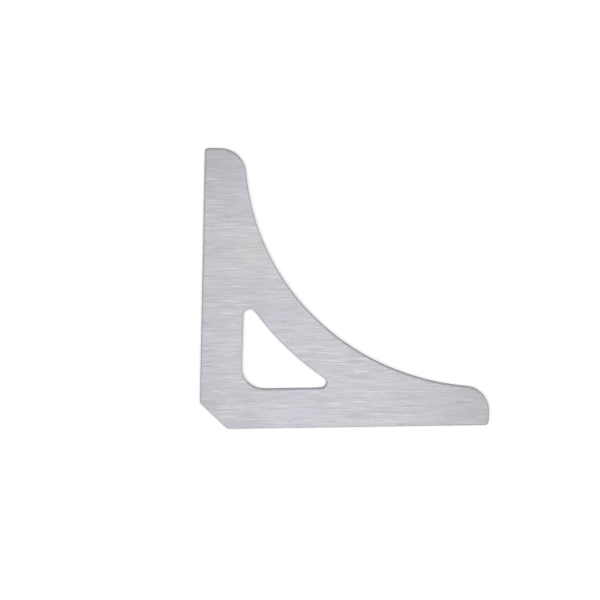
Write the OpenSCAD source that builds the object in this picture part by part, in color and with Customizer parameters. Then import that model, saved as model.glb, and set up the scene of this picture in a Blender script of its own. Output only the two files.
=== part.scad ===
// Flat set-up square: one sheet-metal plate with two equal legs at 90 degrees, a curved brace
// between them, a window behind the brace and a clipped outer corner. It has no fence, so either
// face can lie against the work. The two straight outer edges are the reference edges.

/* [Legs] */
// Length of each reference edge, up to the point where the two edges would meet
leg_length = 76.2; // [76:0.1:160]
// Width of the two legs, and of the brace measured along its radius
rail_width = 10.7; // [9:0.1:11]
// Thickness of the sheet
sheet_thickness = 1.5; // [1:0.1:4]

/* [Brace] */
// Radius of the brace's hollow outer edge, as a share of the leg length
brace_curve = 0.88; // [0.85:0.01:1.2]

/* [Corners] */
// Length cut from each reference edge at the outer corner, to clear burrs and weld beads
corner_clip = 7.3; // [2:0.1:12]
// Radius of the large round at the inner side of each leg's tip
tip_round = 7; // [3:0.1:7.5]
// Radius of the small round where a reference edge meets its tip
tip_edge_round = 0.8; // [0.3:0.1:1.5]
// Radius of the window's corner next to the square's own corner
window_corner = 6.2; // [2:0.1:6.2]
// Radius of the window's two narrow ends
window_end = 1.7; // [1:0.1:2]

/* [Hidden] */
$fn = 180;

// Every point below is measured from the virtual corner where the two reference edges would
// meet. The finished plate is then moved so that the middle of its footprint is at the origin.
footprint_middle = [leg_length, leg_length] / 2;

// The brace's outer edge starts where the round of each tip is level with its leg's inner edge.
brace_start = [leg_length - tip_round, rail_width];
half_chord = (brace_start.x - brace_start.y) / sqrt(2);
outer_radius = brace_curve * leg_length;
inner_radius = outer_radius + rail_width;

// Both edges of the brace are arcs about one centre, which lies on the square's diagonal.
arc_offset = (brace_start.x + brace_start.y) / 2
    + sqrt(outer_radius ^ 2 - half_chord ^ 2) / sqrt(2);
arc_centre = [arc_offset, arc_offset];

// Centres of the rounds
tip_centre = brace_start - [0, tip_round];
tip_edge_centre = [leg_length - tip_edge_round, tip_edge_round];
window_corner_centre = (rail_width + window_corner) * [1, 1];

// A window end touches the leg's inner edge and the brace's inner arc. It passes a hair into
// the brace, so that no gap is left between the two round edges.
overlap = 0.0002;
end_rise = rail_width + window_end;
end_distance = inner_radius + window_end - overlap;
end_reach = sqrt(end_distance ^ 2 - (arc_offset - end_rise) ^ 2);
window_end_centre = [arc_offset - end_reach, end_rise];

// The same point on the other leg
function swapped(point) = [point.y, point.x];

// Points along one leg, then the arcs' centre, then the same points back along the other leg
function both_legs(points) = concat(
    points,
    [arc_centre],
    [for (i = [len(points) - 1:-1:0]) swapped(points[i])]
);

module disc(centre, radius) {
    translate(centre) circle(r = radius);
}

// One disc on each leg
module disc_pair(centre, radius) {
    disc(centre, radius);
    disc(swapped(centre), radius);
}

// Both legs with their tips, filled in as far as the centre of the brace's arcs
module legs_outline() {
    intersection() {
        square(leg_length);
        union() {
            polygon(both_legs([
                [corner_clip, 0],
                [tip_edge_centre.x, 0],
                tip_edge_centre,
                [leg_length, tip_edge_centre.y],
                [leg_length, tip_centre.y],
                tip_centre
            ]));
            disc_pair(tip_edge_centre, tip_edge_round);
            disc_pair(tip_centre, tip_round);
        }
    }
}

// The window: bounded by both legs' inner edges and by the brace's inner arc
module window_outline() {
    difference() {
        union() {
            polygon(both_legs([
                [window_corner_centre.x, rail_width],
                [window_end_centre.x, rail_width],
                window_end_centre
            ]));
            disc(window_corner_centre, window_corner);
            disc_pair(window_end_centre, window_end);
        }
        disc(arc_centre, inner_radius);
    }
}

module plate() {
    color("silver")
    linear_extrude(height = sheet_thickness)
    translate(-footprint_middle)
    difference() {
        legs_outline();
        disc(arc_centre, outer_radius);
        window_outline();
    }
}

plate();
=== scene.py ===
"""Set-up square: the finished plate, lying on a pale floor in soft studio light.

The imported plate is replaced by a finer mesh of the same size. It has true arcs, softened edges on
both faces, its own texture layout, and materials for the brushed faces and for the cut edge.
All lengths are in metres, except the camera's lens and sensor.
"""
import math
from collections import namedtuple

import bpy
from mathutils import Euler, Matrix, Vector, geometry, kdtree, noise


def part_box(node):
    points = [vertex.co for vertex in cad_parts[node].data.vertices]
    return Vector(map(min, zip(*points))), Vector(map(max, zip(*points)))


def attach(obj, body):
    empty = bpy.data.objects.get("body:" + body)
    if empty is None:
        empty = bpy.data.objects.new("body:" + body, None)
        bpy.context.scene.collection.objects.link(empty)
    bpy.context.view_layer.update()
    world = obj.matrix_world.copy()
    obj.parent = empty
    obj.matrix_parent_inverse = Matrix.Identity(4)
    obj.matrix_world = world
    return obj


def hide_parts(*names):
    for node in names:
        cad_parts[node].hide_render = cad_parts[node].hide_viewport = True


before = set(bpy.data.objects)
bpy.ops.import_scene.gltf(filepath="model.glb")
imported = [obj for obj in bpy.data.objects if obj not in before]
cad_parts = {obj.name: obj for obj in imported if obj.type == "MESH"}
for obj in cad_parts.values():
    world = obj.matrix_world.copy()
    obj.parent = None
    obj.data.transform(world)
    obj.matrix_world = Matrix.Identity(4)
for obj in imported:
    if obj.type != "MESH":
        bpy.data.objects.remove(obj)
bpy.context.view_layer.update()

MM = 0.001

# ---- The plate's design, as in the CAD ---------------------------------------------------------
plate_low, plate_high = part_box("plate")
LEG = plate_high.x - plate_low.x
SHEET = plate_high.z - plate_low.z
RAIL = 10.7 * MM
BRACE_RADIUS = 0.88 * LEG
CLIP = 7.3 * MM
TIP_ROUND = 7 * MM
TIP_EDGE_ROUND = 0.8 * MM
WINDOW_CORNER = 6.2 * MM
WINDOW_END = 1.7 * MM

# ---- What filing and tumbling did to the edges -------------------------------------------------
CLIP_SOFTENING = 0.5 * MM
BRACE_SOFTENING = 1.5 * MM
LOWER_BEVEL = 0.07 * MM
UPPER_BEVEL = 0.08 * MM
# How far the mark of wear and painted edge shade reaches onto the faces, and onto the cut wall
WEAR_AND_SHADE_REACH = 0.36 * MM
WALL_WEAR_AND_SHADE_REACH = 0.15 * MM

# A bevel's width varies in waves, and has a knock wherever a finer noise passes a limit.
BEVEL_WAVE = 5 * MM
BEVEL_UNEVENNESS = 0.25
KNOCK_SIZE = 2.2 * MM
KNOCK_LIMIT = 0.45
KNOCK_STRENGTH = 1.6

# Seeds of the noise. The knocks' seed is added to the bevel's own.
LOWER_SEED = 3
UPPER_SEED = 11
KNOCK_SEED = 7

# ---- How finely the mesh is divided ------------------------------------------------------------
CURVE_STEP = 0.6 * MM
LINE_STEP = 1.0 * MM
LARGEST_TURN = math.radians(11)
BEVEL_STEPS = 4
FACE_STEP = 1.8 * MM
SAME_PLACE = 1e-7

Spot = namedtuple("Spot", "place facing")


# ---- Outline -----------------------------------------------------------------------------------
def heading(vector):
    return math.degrees(math.atan2(vector.y, vector.x))


def arc(centre, radius, start, end, hollow=False):
    """Spots along an arc between two headings in degrees. A hollow arc faces its own centre."""
    turn = math.radians(end - start)
    steps = math.ceil(abs(turn) * max(radius / CURVE_STEP, 1 / LARGEST_TURN))
    spots = []
    for i in range(steps + 1):
        angle = math.radians(start) + turn * i / steps
        out = Vector((math.cos(angle), math.sin(angle)))
        spots.append(Spot(centre + out * radius, -out if hollow else out))
    return spots


def where_circles_meet(centre_a, radius_a, centre_b, radius_b):
    """The crossing of two circles that lies to the right on the way from a to b."""
    apart = (centre_b - centre_a).length
    along = (apart ** 2 + radius_a ** 2 - radius_b ** 2) / (2 * apart)
    aside = math.sqrt(radius_a ** 2 - along ** 2)
    forward = (centre_b - centre_a) / apart
    right = Vector((forward.y, -forward.x))
    return centre_a + forward * along + right * aside


def swapped(spot):
    """The same spot on the other leg."""
    return Spot(spot.place.yx, spot.facing.yx)


def closed_loop(half):
    """Adds the other leg's half, drops repeated spots and divides the straight stretches."""
    loop = half + [swapped(spot) for spot in reversed(half)]
    spots = []
    for spot, following in zip(loop, loop[1:] + loop[:1]):
        way = following.place - spot.place
        if way.length < SAME_PLACE:
            continue
        steps = math.ceil(way.length / LINE_STEP)
        spots += [Spot(spot.place + way * i / steps, spot.facing) for i in range(steps)]
    return spots


def brace_centre():
    """Both edges of the brace are arcs about this point on the square's diagonal."""
    start = Vector((LEG - TIP_ROUND, RAIL))
    half_chord = (start.x - start.y) / math.sqrt(2)
    offset = (start.x + start.y) / 2 + math.sqrt(BRACE_RADIUS ** 2 - half_chord ** 2) / math.sqrt(2)
    return Vector((offset, offset))


def outer_loop():
    """The outline, with the metal on its left: foot, tip, brace, other tip, upright, clip."""
    centre = brace_centre()
    clip_run = CLIP_SOFTENING * math.tan(math.radians(45 / 2))
    clip = Vector((CLIP + clip_run, CLIP_SOFTENING))
    tip_edge = Vector((LEG - TIP_EDGE_ROUND, TIP_EDGE_ROUND))
    tip = Vector((LEG - TIP_ROUND, RAIL - TIP_ROUND))
    shoulder = where_circles_meet(
        tip, TIP_ROUND - BRACE_SOFTENING, centre, BRACE_RADIUS + BRACE_SOFTENING
    )
    leaves_tip = heading(shoulder - tip)
    joins_brace = heading(centre - shoulder)
    half = arc(clip, CLIP_SOFTENING, -135, -90)
    half += arc(tip_edge, TIP_EDGE_ROUND, -90, 0)
    half += arc(tip, TIP_ROUND, 0, leaves_tip)
    half += arc(shoulder, BRACE_SOFTENING, leaves_tip, joins_brace)
    half += arc(centre, BRACE_RADIUS, joins_brace - 180, -135, hollow=True)
    return closed_loop(half)


def window_loop():
    """The window's outline, also with the metal on its left."""
    centre = brace_centre()
    inner_radius = BRACE_RADIUS + RAIL
    corner = Vector((RAIL + WINDOW_CORNER, RAIL + WINDOW_CORNER))
    rise = RAIL + WINDOW_END
    reach = math.sqrt((inner_radius + WINDOW_END) ** 2 - (centre.y - rise) ** 2)
    end = Vector((centre.x - reach, rise))
    half = arc(corner, WINDOW_CORNER, -135, -90, hollow=True)
    half += arc(end, WINDOW_END, -90, heading(centre - end), hollow=True)
    half += arc(centre, inner_radius, heading(end - centre), -135)
    return closed_loop(half)[::-1]


# ---- Edge profile ------------------------------------------------------------------------------
def unevenness(place, size, seed):
    """Smooth noise from -1 to 1 over the plan, with features of the given size."""
    return noise.noise(Vector((place.x / size, place.y / size, seed)))


def bevel_at(place, usual, seed):
    """Width of the softened edge, a little uneven, with a few small knocks."""
    knock = max(0, unevenness(place, KNOCK_SIZE, seed + KNOCK_SEED) - KNOCK_LIMIT)
    wave = unevenness(place, BEVEL_WAVE, seed)
    return usual * (1 + BEVEL_UNEVENNESS * wave + KNOCK_STRENGTH * knock)


def edge_profile(place):
    """Rows from under the plate, round its edge, to its upper face.

    Each row is (inset from the outline, height, tilt of the surface in degrees, wear and painted
    edge shade).
    """
    lower = bevel_at(place, LOWER_BEVEL, LOWER_SEED)
    upper = bevel_at(place, UPPER_BEVEL, UPPER_SEED)
    rows = [(WEAR_AND_SHADE_REACH, 0, -90, 0)]
    for step in range(BEVEL_STEPS + 1):
        tilt = -90 + 90 * step / BEVEL_STEPS
        run, rise = math.cos(math.radians(tilt)), math.sin(math.radians(tilt))
        rows.append((lower * (1 - run), lower * (1 + rise), tilt, 1))
    rows.append((0, lower + WALL_WEAR_AND_SHADE_REACH, 0, 0))
    rows.append((0, SHEET - upper - WALL_WEAR_AND_SHADE_REACH, 0, 0))
    for step in range(BEVEL_STEPS + 1):
        tilt = 90 * step / BEVEL_STEPS
        run, rise = math.cos(math.radians(tilt)), math.sin(math.radians(tilt))
        rows.append((upper * (1 - run), SHEET - upper * (1 - rise), tilt, 1))
    rows.append((WEAR_AND_SHADE_REACH, SHEET, 90, 0))
    return rows


# The faces between these rows of the profile are the cut wall. The others are brushed.
FIRST_WALL_ROW = BEVEL_STEPS + 1
LAST_WALL_ROW = FIRST_WALL_ROW + 3


# ---- Mesh --------------------------------------------------------------------------------------
class Shell:
    """Collects the plate's vertices and faces, with what each of them needs later."""

    def __init__(self):
        self.places = []
        self.normals = []
        self.wear_and_shade = []
        self.faces = []
        self.materials = []
        self.charts = []

    def vertex(self, flat, height, normal, wear_and_shade):
        """Adds a vertex and returns its number."""
        self.places.append(Vector((flat.x, flat.y, height)))
        self.normals.append(normal)
        self.wear_and_shade.append(wear_and_shade)
        return len(self.places) - 1

    def face(self, corners, material, chart):
        """chart holds each corner's place in the texture layout, in metres."""
        self.faces.append(corners)
        self.materials.append(material)
        self.charts.append(chart)


def profile_vertices(shell, loop):
    """Runs the edge profile round a loop. Returns rows of vertex numbers, one for each spot."""
    rings = []
    for spot in loop:
        ring = []
        for inset, height, tilt, wear_and_shade in edge_profile(spot.place):
            flat = spot.place - spot.facing * inset
            run, rise = math.cos(math.radians(tilt)), math.sin(math.radians(tilt))
            normal = Vector((spot.facing.x * run, spot.facing.y * run, rise))
            ring.append(shell.vertex(flat, height, normal, wear_and_shade))
        rings.append(ring)
    return rings


# The order of the plate's materials
BRUSHED, CUT = 0, 1

# The texture layout is a square that holds both faces, with the edge in strips between them.
# Each strip starts further to the right than the one above it, as the free space leans.
LAYOUT_GAP = 1.2 * MM
LAYOUT = LEG + RAIL + LAYOUT_GAP
STRIP_LENGTH = 44 * MM
STRIP_PITCH = 2.5 * MM
STRIP_LEAN = 0.6


def upper_chart(place):
    return Vector((place.x, place.y))


def lower_chart(place):
    """The lower face is turned half round, so that its legs close the square."""
    return Vector((LAYOUT - place.x, LAYOUT - place.y))


class Strips:
    """Lays the edge out in rows across the free space between the two faces."""

    def __init__(self, total):
        """total is the length of edge to lay out, which decides how many rows there are."""
        self.rows = math.ceil(total / STRIP_LENGTH)
        self.row = 0
        self.along = 0

    def corner(self, along, up):
        middle = Vector((LAYOUT / 2, LAYOUT / 2))
        drop = (self.row - (self.rows - 1) / 2) * STRIP_PITCH
        start = Vector((-STRIP_LENGTH / 2 + drop * STRIP_LEAN, -drop - SHEET / 2))
        return middle + start + Vector((along, up))

    def advance(self, length):
        self.along += length
        if self.along > STRIP_LENGTH - 2 * LINE_STEP:
            self.next_row()

    def next_row(self):
        self.row += 1
        self.along = 0


def edge_faces(shell, loop, rings, strips):
    """Faces round the edge, laid out in strips from the lower bevel to the upper one."""
    for i, spot in enumerate(loop):
        j = (i + 1) % len(loop)
        length = (loop[j].place - spot.place).length
        up = 0
        for row in range(len(rings[i]) - 1):
            corners = [rings[i][row], rings[j][row], rings[j][row + 1], rings[i][row + 1]]
            if row == 0:
                chart = [lower_chart(shell.places[corner]) for corner in corners]
            elif row == len(rings[i]) - 2:
                chart = [upper_chart(shell.places[corner]) for corner in corners]
            else:
                rise = (shell.places[corners[3]] - shell.places[corners[0]]).length
                ends = strips.along, strips.along + length
                chart = [
                    strips.corner(ends[0], up),
                    strips.corner(ends[1], up),
                    strips.corner(ends[1], up + rise),
                    strips.corner(ends[0], up + rise),
                ]
                up += rise
            on_wall = FIRST_WALL_ROW <= row < LAST_WALL_ROW
            shell.face(corners, CUT if on_wall else BRUSHED, chart)
        strips.advance(length)
    strips.next_row()


# Blender's code for triangles inside the outlines only, and the distance in mm at which its
# triangulation merges points
KEEP_INSIDE = 1
MERGE_DISTANCE = 1e-5


def lattice(borders):
    """Points in a triangular pattern over the footprint, clear of the border loops."""
    tree = kdtree.KDTree(sum(len(border) for border in borders))
    for border in borders:
        for point in border:
            tree.insert(point.to_3d(), 0)
    tree.balance()
    points = []
    row_step = FACE_STEP * math.sqrt(3) / 2
    for j in range(int(LEG / row_step)):
        for i in range(int(LEG / FACE_STEP)):
            point = Vector(((i + 0.5 * (j % 2)) * FACE_STEP, j * row_step))
            if tree.find(point.to_3d())[2] > FACE_STEP / 2:
                points.append(point)
    return points


def face_triangles(borders):
    """Divides the face between its two borders. Returns the points and the triangles."""
    points = [point for border in borders for point in border]
    outer_count = len(borders[0])
    # Both outlines are given anticlockwise, so the window's is turned round.
    outlines = [list(range(outer_count)), list(range(outer_count, len(points)))[::-1]]
    points += lattice(borders)
    flat, _, triangles, _, _, sources = geometry.delaunay_2d_cdt(
        [point / MM for point in points], [], outlines, KEEP_INSIDE, MERGE_DISTANCE
    )
    # A triangle in the window lies inside both outlines, so it is left out.
    kept = [t for t, source in zip(triangles, sources) if source == [0]]
    return [point * MM for point in flat], kept


def fill_face(shell, borders, height, normal, chart):
    """Fills a whole face of the plate. borders holds vertex numbers, one list for each loop."""
    places = [[shell.places[corner].xy for corner in border] for border in borders]
    points, triangles = face_triangles(places)
    numbers = [corner for border in borders for corner in border]
    for point in points[len(numbers):]:
        numbers.append(shell.vertex(point, height, normal, 0))
    for triangle in triangles:
        corners = [numbers[corner] for corner in triangle]
        if normal.z < 0:
            corners.reverse()
        shell.face(corners, BRUSHED, [chart(shell.places[corner]) for corner in corners])


def plate_shell():
    shell = Shell()
    loops = [outer_loop(), window_loop()]
    rings = [profile_vertices(shell, loop) for loop in loops]
    total = sum((a.place - b.place).length for loop in loops for a, b in zip(loop, loop[1:]))
    strips = Strips(total)
    for loop, loop_rings in zip(loops, rings):
        edge_faces(shell, loop, loop_rings, strips)
    up = Vector((0, 0, 1))
    lower_borders = [[ring[0] for ring in loop_rings] for loop_rings in rings]
    upper_borders = [[ring[-1] for ring in loop_rings] for loop_rings in rings]
    fill_face(shell, lower_borders, 0, -up, lower_chart)
    fill_face(shell, upper_borders, SHEET, up, upper_chart)
    return shell


def make_plate():
    """Builds the plate's object. The shell is measured from the virtual corner."""
    shell = plate_shell()
    mesh = bpy.data.meshes.new("plate_finish")
    mesh.from_pydata([place + plate_low for place in shell.places], [], shell.faces)
    mesh.polygons.foreach_set("material_index", shell.materials)
    mesh.polygons.foreach_set("use_smooth", [True] * len(shell.faces))
    wear_and_shade = mesh.attributes.new("wear_and_shade", "FLOAT", "POINT")
    wear_and_shade.data.foreach_set("value", shell.wear_and_shade)
    # The plate's own texture layout. The export keeps a layout of this name, unless it
    # finds a better one.
    layout = mesh.uv_layers.new(name="OFBake")
    corners = [corner / LAYOUT for chart in shell.charts for corner in chart]
    layout.uv.foreach_set("vector", [number for corner in corners for number in corner])
    mesh.normals_split_custom_set_from_vertices(shell.normals)
    plate = bpy.data.objects.new("plate_finish", mesh)
    bpy.context.scene.collection.objects.link(plate)
    return plate


# ---- Materials ---------------------------------------------------------------------------------
VIOLET_STEEL = (0.620, 0.608, 0.661)
NEUTRAL_STEEL = (0.614, 0.612, 0.633)
# Painted shade: the softened edges get this darker colour, as a rounded edge looks when it reflects
# dark surroundings.
EDGE_SHADE_STEEL = (0.37, 0.365, 0.39)
CUT_STEEL = (0.30, 0.295, 0.31)
DULL_PAPER = (0.93, 0.93, 0.93)
WHITE_PAPER = (0.95, 0.95, 0.95)

# Noise is drawn out to a length along X, a width along Y and a depth along Z. The detail is how
# many finer layers it has, and each of them is LAYER_STRENGTH as strong as the last.
Marks = namedtuple("Marks", "length width depth detail")
LAYER_STRENGTH = 0.55

# On the brushed faces
HAIRLINES = Marks(5 * MM, 0.08 * MM, 0.3 * MM, 1)
FINE_LINES = Marks(7 * MM, 0.22 * MM, 0.5 * MM, 2)
WIDE_LINES = Marks(11 * MM, 0.7 * MM, 0.5 * MM, 1)
SPECKS = Marks(0.6 * MM, 0.3 * MM, 0.3 * MM, 1)
LINE_BREAKS = Marks(2.2 * MM, 0.6 * MM, 0.5 * MM, 2)
QUIET_PATCHES = Marks(7 * MM, 3 * MM, 3 * MM, 1)
BANDS = Marks(30 * MM, 2.4 * MM, 3 * MM, 2)
CLOUDS = Marks(30 * MM, 22 * MM, 9 * MM, 2)
# Patches in the painted shade towards the tips and corner
TIP_SHADE_PATCHES = Marks(7 * MM, 5 * MM, 5 * MM, 3)

# On the cut wall, on every edge, and on the paper
CUT_LINES = Marks(0.13 * MM, 0.13 * MM, 4 * MM, 3)
CUT_PATCHES = Marks(3 * MM, 3 * MM, 1.2 * MM, 3)
WEAR_AND_SHADE_PATCHES = Marks(1.5 * MM, 1.5 * MM, 1.5 * MM, 3)
FIBRES = Marks(0.6 * MM, 0.6 * MM, 0.6 * MM, 3)

# The stretch of the noise that is spread over a target range. A shorter one is sharper.
GENTLE = (0.2, 0.8)
USUAL = (0.3, 0.7)
SHARP = (0.35, 0.65)

# How far each kind of mark moves the tone, which goes from -1 to 1
LINE_LAYERS = ((FINE_LINES, 0.6), (WIDE_LINES, 0.3), (HAIRLINES, 0.35))
SPECK_STRENGTH = 0.2
BAND_STRENGTH = 0.09
# The painted shade towards the tips and corner takes this much off the tone.
TIP_SHADE_STRENGTH = 0.13

# What the tone does to the steel's own colour, at its darkest and lightest
DARKEST_LINE = -0.24
LIGHTEST_LINE = 0.53
LINE_POWER = 1.7
CUT_LINE_SHARE = 0.6
CUT_VARIATION = 0.2

# What the patches multiply the lines, the painted tip shade, and the edge wear and painted edge
# shade by
BREAK_RANGE = (0.1, 1.7)
QUIET_RANGE = (0.6, 1.3)
TIP_SHADE_RANGE = (0.8, 1.2)
WEAR_AND_SHADE_RANGE = (0.6, 1.0)

# Painted shade darkens the plate out towards its tips and corner, which lie this far from its
# middle.
TIP_SHADE_FROM = 0.5 * LEG
TIP_SHADE_FULLY = 0.66 * LEG

# Roughness where the marks are darkest and lightest, and how much wear takes off it
BRUSHED_ROUGHNESS = (0.42, 0.30)
CLOUD_ROUGHNESS = (-0.03, 0.03)
CUT_ROUGHNESS = (0.52, 0.38)
BRUSHED_POLISH = 0.10
CUT_POLISH = 0.15

BRUSHING_DEPTH = 0.002 * MM
CUT_LINE_DEPTH = 0.008 * MM
ANISOTROPY = 0.75
QUARTER_TURN = 0.25

PAPER_ROUGHNESS = 0.9
PAPER_GLOSS = 0.2
PAPER_GLOW = 0.15


def new_tree(name):
    """A material with an empty node tree, and its Principled shader."""
    material = bpy.data.materials.new(name)
    material.use_nodes = True
    tree = material.node_tree
    tree.nodes.clear()
    shader = tree.nodes.new("ShaderNodeBsdfPrincipled")
    output = tree.nodes.new("ShaderNodeOutputMaterial")
    tree.links.new(shader.outputs["BSDF"], output.inputs["Surface"])
    return material, tree, shader


def set_inputs(tree, node, inputs):
    """Sets a node's inputs: each is linked if it is given a socket, or else set to the value."""
    for name, value in inputs.items():
        if isinstance(value, bpy.types.NodeSocket):
            tree.links.new(value, node.inputs[name])
        else:
            node.inputs[name].default_value = value


def add(tree, kind, inputs=None, **settings):
    """Adds a node, with the inputs as in set_inputs and the settings as attributes."""
    node = tree.nodes.new(kind)
    for name, value in settings.items():
        setattr(node, name, value)
    set_inputs(tree, node, inputs or {})
    return node


def place_on_object(tree):
    """The place in metres, from the middle of the plate's footprint."""
    return add(tree, "ShaderNodeTexCoord").outputs["Object"]


def streaks(tree, marks):
    """Noise from 0 to 1, drawn out as the marks say."""
    scale = (1 / marks.length, 1 / marks.width, 1 / marks.depth)
    stretched = add(tree, "ShaderNodeMapping", {"Vector": place_on_object(tree), "Scale": scale})
    made = add(
        tree,
        "ShaderNodeTexNoise",
        {
            "Vector": stretched.outputs["Vector"],
            "Scale": 1,
            "Detail": marks.detail,
            "Roughness": LAYER_STRENGTH,
        },
    )
    return made.outputs["Fac"]


def spread(tree, value, source, target):
    """Maps the source range to the target range, without going past either end."""
    made = add(
        tree,
        "ShaderNodeMapRange",
        {
            "Value": value,
            "From Min": source[0],
            "From Max": source[1],
            "To Min": target[0],
            "To Max": target[1],
        },
    )
    return made.outputs["Result"]


def combined(tree, operation, first, second):
    """The result of a Math node on two values, each a socket or a number."""
    made = add(tree, "ShaderNodeMath", {0: first, 1: second}, operation=operation)
    return made.outputs["Value"]


def blended(tree, share, first, second):
    """Mixes two colours, each a socket or three numbers."""
    made = add(tree, "ShaderNodeMix", {"Factor": share}, data_type="RGBA")
    for name, value in (("A", first), ("B", second)):
        socket = next(s for s in made.inputs if s.name == name and s.type == "RGBA")
        if isinstance(value, bpy.types.NodeSocket):
            tree.links.new(value, socket)
        else:
            socket.default_value = (*value, 1)
    return next(s for s in made.outputs if s.type == "RGBA")


def shaded(colour, amount):
    """The colour, lighter by this share of itself, or darker if the amount is negative."""
    return tuple(part * (1 + amount) for part in colour)


def worn_and_shaded(tree):
    """Wear and painted edge shade: most on the softened edges, in uneven patches. The wear lowers
    the roughness, and the painted shade darkens the colour.
    """
    edge = add(tree, "ShaderNodeAttribute", attribute_name="wear_and_shade").outputs["Fac"]
    patches = spread(tree, streaks(tree, WEAR_AND_SHADE_PATCHES), USUAL, WEAR_AND_SHADE_RANGE)
    return combined(tree, "MULTIPLY", edge, patches)


def painted_tip_shade(tree):
    """Painted shade: how much darker the plate is made towards its tips and its corner, in patches.
    """
    reach = add(tree, "ShaderNodeVectorMath", {0: place_on_object(tree)}, operation="LENGTH")
    far_out = spread(tree, reach.outputs["Value"], (TIP_SHADE_FROM, TIP_SHADE_FULLY), (0, 1))
    patches = spread(tree, streaks(tree, TIP_SHADE_PATCHES), USUAL, TIP_SHADE_RANGE)
    return combined(tree, "MULTIPLY", far_out, patches)


def brushing(tree):
    """The brush lines and specks, mostly from -1 to 1. The lines break off and fade in places."""
    lines = 0
    for marks, strength in LINE_LAYERS:
        layer = spread(tree, streaks(tree, marks), GENTLE, (-strength, strength))
        lines = combined(tree, "ADD", layer, lines)
    breaks = spread(tree, streaks(tree, LINE_BREAKS), USUAL, BREAK_RANGE)
    quiet = spread(tree, streaks(tree, QUIET_PATCHES), SHARP, QUIET_RANGE)
    lines = combined(tree, "MULTIPLY", combined(tree, "MULTIPLY", lines, breaks), quiet)
    specks = spread(tree, streaks(tree, SPECKS), GENTLE, (-SPECK_STRENGTH, SPECK_STRENGTH))
    return combined(tree, "ADD", lines, specks)


def steel_colour(tree, grain, clouds):
    """The brushed faces' colour: two tints in clouds, each darker and lighter with the grain."""
    bands = spread(tree, streaks(tree, BANDS), USUAL, (-BAND_STRENGTH, BAND_STRENGTH))
    tone = combined(tree, "ADD", grain, bands)
    # Painted shade: the tone is darkened towards the tips and the corner.
    tone = combined(tree, "SUBTRACT", tone, combined(tree, "MULTIPLY", painted_tip_shade(tree), TIP_SHADE_STRENGTH))
    # The power makes the light lines stand out more than the dark ones.
    share = combined(tree, "POWER", spread(tree, tone, (-1, 1), (0, 1)), LINE_POWER)
    tints = [
        blended(tree, share, shaded(steel, DARKEST_LINE), shaded(steel, LIGHTEST_LINE))
        for steel in (VIOLET_STEEL, NEUTRAL_STEEL)
    ]
    return blended(tree, spread(tree, clouds, SHARP, (0, 1)), *tints)


def polished(tree, roughness, wear_and_shade, polish):
    """The roughness, lowered by the polish where the surface is worn."""
    return combined(tree, "SUBTRACT", roughness, combined(tree, "MULTIPLY", wear_and_shade, polish))


def bumped(tree, height, depth):
    """The direction that the surface faces, with bumps of this depth where the height is 1."""
    bump = add(tree, "ShaderNodeBump", {"Height": height, "Strength": 1, "Distance": depth})
    return bump.outputs["Normal"]


def brushed_steel():
    """Stainless sheet, brushed in straight lines along X."""
    material, tree, shader = new_tree("brushed_steel")
    grain = brushing(tree)
    clouds = streaks(tree, CLOUDS)
    wear_and_shade = worn_and_shaded(tree)
    roughness = combined(
        tree,
        "ADD",
        spread(tree, grain, (-1, 1), BRUSHED_ROUGHNESS),
        spread(tree, clouds, USUAL, CLOUD_ROUGHNESS),
    )
    along_x = add(tree, "ShaderNodeCombineXYZ", {"X": 1})
    # Highlights are drawn out along the tangent. The quarter turn sets them across the lines.
    set_inputs(
        tree,
        shader,
        {
            # Painted shade: the softened edges are darkened. Their wear lowers the roughness below.
            "Base Color": blended(tree, wear_and_shade, steel_colour(tree, grain, clouds), EDGE_SHADE_STEEL),
            "Metallic": 1,
            "Roughness": polished(tree, roughness, wear_and_shade, BRUSHED_POLISH),
            "Normal": bumped(tree, grain, BRUSHING_DEPTH),
            "Tangent": along_x.outputs["Vector"],
            "Anisotropic": ANISOTROPY,
            "Anisotropic Rotation": QUARTER_TURN,
        },
    )
    return material


def cut_edge():
    """The cut wall of the sheet: duller, with fine upright lines."""
    material, tree, shader = new_tree("cut_edge")
    lines = streaks(tree, CUT_LINES)
    mixed = combined(
        tree,
        "ADD",
        combined(tree, "MULTIPLY", lines, CUT_LINE_SHARE),
        combined(tree, "MULTIPLY", streaks(tree, CUT_PATCHES), 1 - CUT_LINE_SHARE),
    )
    share = spread(tree, mixed, USUAL, (0, 1))
    bare = blended(tree, share, shaded(CUT_STEEL, -CUT_VARIATION), shaded(CUT_STEEL, CUT_VARIATION))
    wear_and_shade = worn_and_shaded(tree)
    roughness = spread(tree, share, (0, 1), CUT_ROUGHNESS)
    set_inputs(
        tree,
        shader,
        {
            # Painted shade: the softened edges are darkened. Their wear lowers the roughness below.
            "Base Color": blended(tree, wear_and_shade, bare, EDGE_SHADE_STEEL),
            "Metallic": 1,
            "Roughness": polished(tree, roughness, wear_and_shade, CUT_POLISH),
            "Normal": bumped(tree, lines, CUT_LINE_DEPTH),
        },
    )
    return material


def floor_paper():
    """Matt white paper, a little overexposed."""
    material, tree, shader = new_tree("floor_paper")
    share = spread(tree, streaks(tree, FIBRES), USUAL, (0, 1))
    set_inputs(
        tree,
        shader,
        {
            "Base Color": blended(tree, share, DULL_PAPER, WHITE_PAPER),
            "Roughness": PAPER_ROUGHNESS,
            "Specular IOR Level": PAPER_GLOSS,
            "Emission Color": (1, 1, 1, 1),
            "Emission Strength": PAPER_GLOW,
        },
    )
    return material


# ---- Stage -------------------------------------------------------------------------------------
FLOOR_REACH = 2.0
FLOOR_DROP = 0.01 * MM
SIDES = 64


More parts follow.
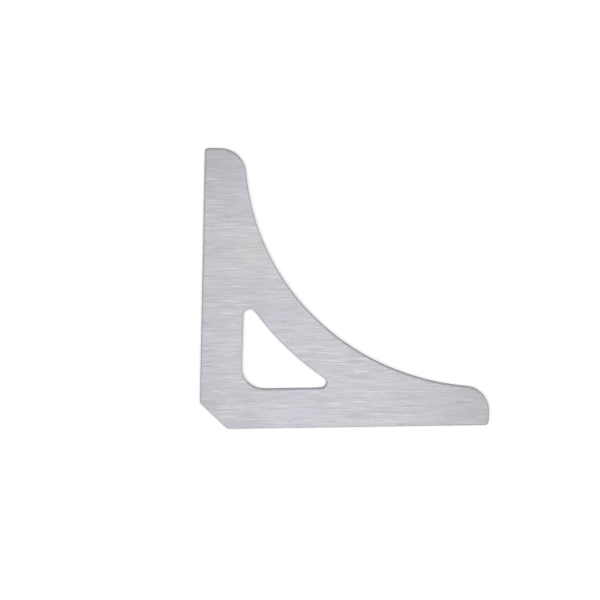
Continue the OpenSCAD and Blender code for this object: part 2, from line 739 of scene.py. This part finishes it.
def make_floor():
    """A wide round sheet of paper, just under the plate."""
    rim = [2 * math.pi * i / SIDES for i in range(SIDES)]
    places = [(FLOOR_REACH * math.cos(a), FLOOR_REACH * math.sin(a), -FLOOR_DROP) for a in rim]
    mesh = bpy.data.meshes.new("floor")
    mesh.from_pydata(places, [], [list(range(SIDES))])
    floor = bpy.data.objects.new("floor", mesh)
    bpy.context.scene.collection.objects.link(floor)
    floor.data.materials.append(floor_paper())
    return floor


# The lens and the sensor are in millimetres, and the turns about X, Y and Z in degrees.
LENS = 240
SENSOR = 36
NEAREST_SEEN = 0.05
FURTHEST_SEEN = 10
CAMERA_TURN = (-19.05, -6.46, 1.53)
CAMERA_FROM_ORIGIN = Vector((-12.55, -3.20, 1036.8)) * MM


def make_camera():
    """A long lens, 20 degrees off straight down. CAMERA_FROM_ORIGIN is along the camera's axes."""
    data = bpy.data.cameras.new("camera")
    data.lens = LENS
    data.sensor_width = SENSOR
    data.clip_start = NEAREST_SEEN
    data.clip_end = FURTHEST_SEEN
    camera = bpy.data.objects.new("camera", data)
    bpy.context.scene.collection.objects.link(camera)
    turn = Euler([math.radians(angle) for angle in CAMERA_TURN]).to_matrix().to_4x4()
    camera.matrix_world = turn @ Matrix.Translation(CAMERA_FROM_ORIGIN)
    bpy.context.scene.camera = camera


ROOM_BRIGHTNESS = 0.32

# Name, place, size and brightness of each softbox. The bright ones hang high, so that a low
# camera doesn't see them mirrored in the plate.
SOFTBOXES = (
    ("key", (0.02, -0.14, 0.28), (0.12, 0.08), 1.35),
    ("back", (0.0, -0.9, 0.5), (1.3, 0.7), 0.4),
    ("front", (0.0, 0.5, 0.9), (0.9, 0.6), 2.6),
    ("left", (-0.6, 0.0, 0.85), (0.6, 0.9), 2.4),
    ("right", (0.6, 0.0, 0.85), (0.6, 0.9), 1.0),
)


def softbox(name, place, size, brightness):
    """A softbox that faces the plate. brightness is what a mirror would show, with white as 1."""
    data = bpy.data.lights.new(name, "AREA")
    data.shape = "RECTANGLE"
    data.size, data.size_y = size
    data.energy = brightness * math.pi * size[0] * size[1]
    light = bpy.data.objects.new(name, data)
    bpy.context.scene.collection.objects.link(light)
    light.location = place
    light.rotation_euler = Vector(place).to_track_quat("Z", "Y").to_euler()
    light.visible_camera = False


def light_stage():
    """A white room with softboxes. The key is small and near, for a glow on the foot's middle."""
    world = bpy.data.worlds.new("room")
    world.use_nodes = True
    background = world.node_tree.nodes["Background"]
    colour_and_strength = {"Color": (1, 1, 1, 1), "Strength": ROOM_BRIGHTNESS}
    set_inputs(world.node_tree, background, colour_and_strength)
    bpy.context.scene.world = world
    for name, place, size, brightness in SOFTBOXES:
        softbox(name, place, size, brightness)
    bpy.context.scene.view_settings.view_transform = "Standard"


# ---- Scene -------------------------------------------------------------------------------------
make_camera()
floor = make_floor()
light_stage()

plate = make_plate()
plate.data.materials.append(brushed_steel())
plate.data.materials.append(cut_edge())
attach(plate, "root")
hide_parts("plate")
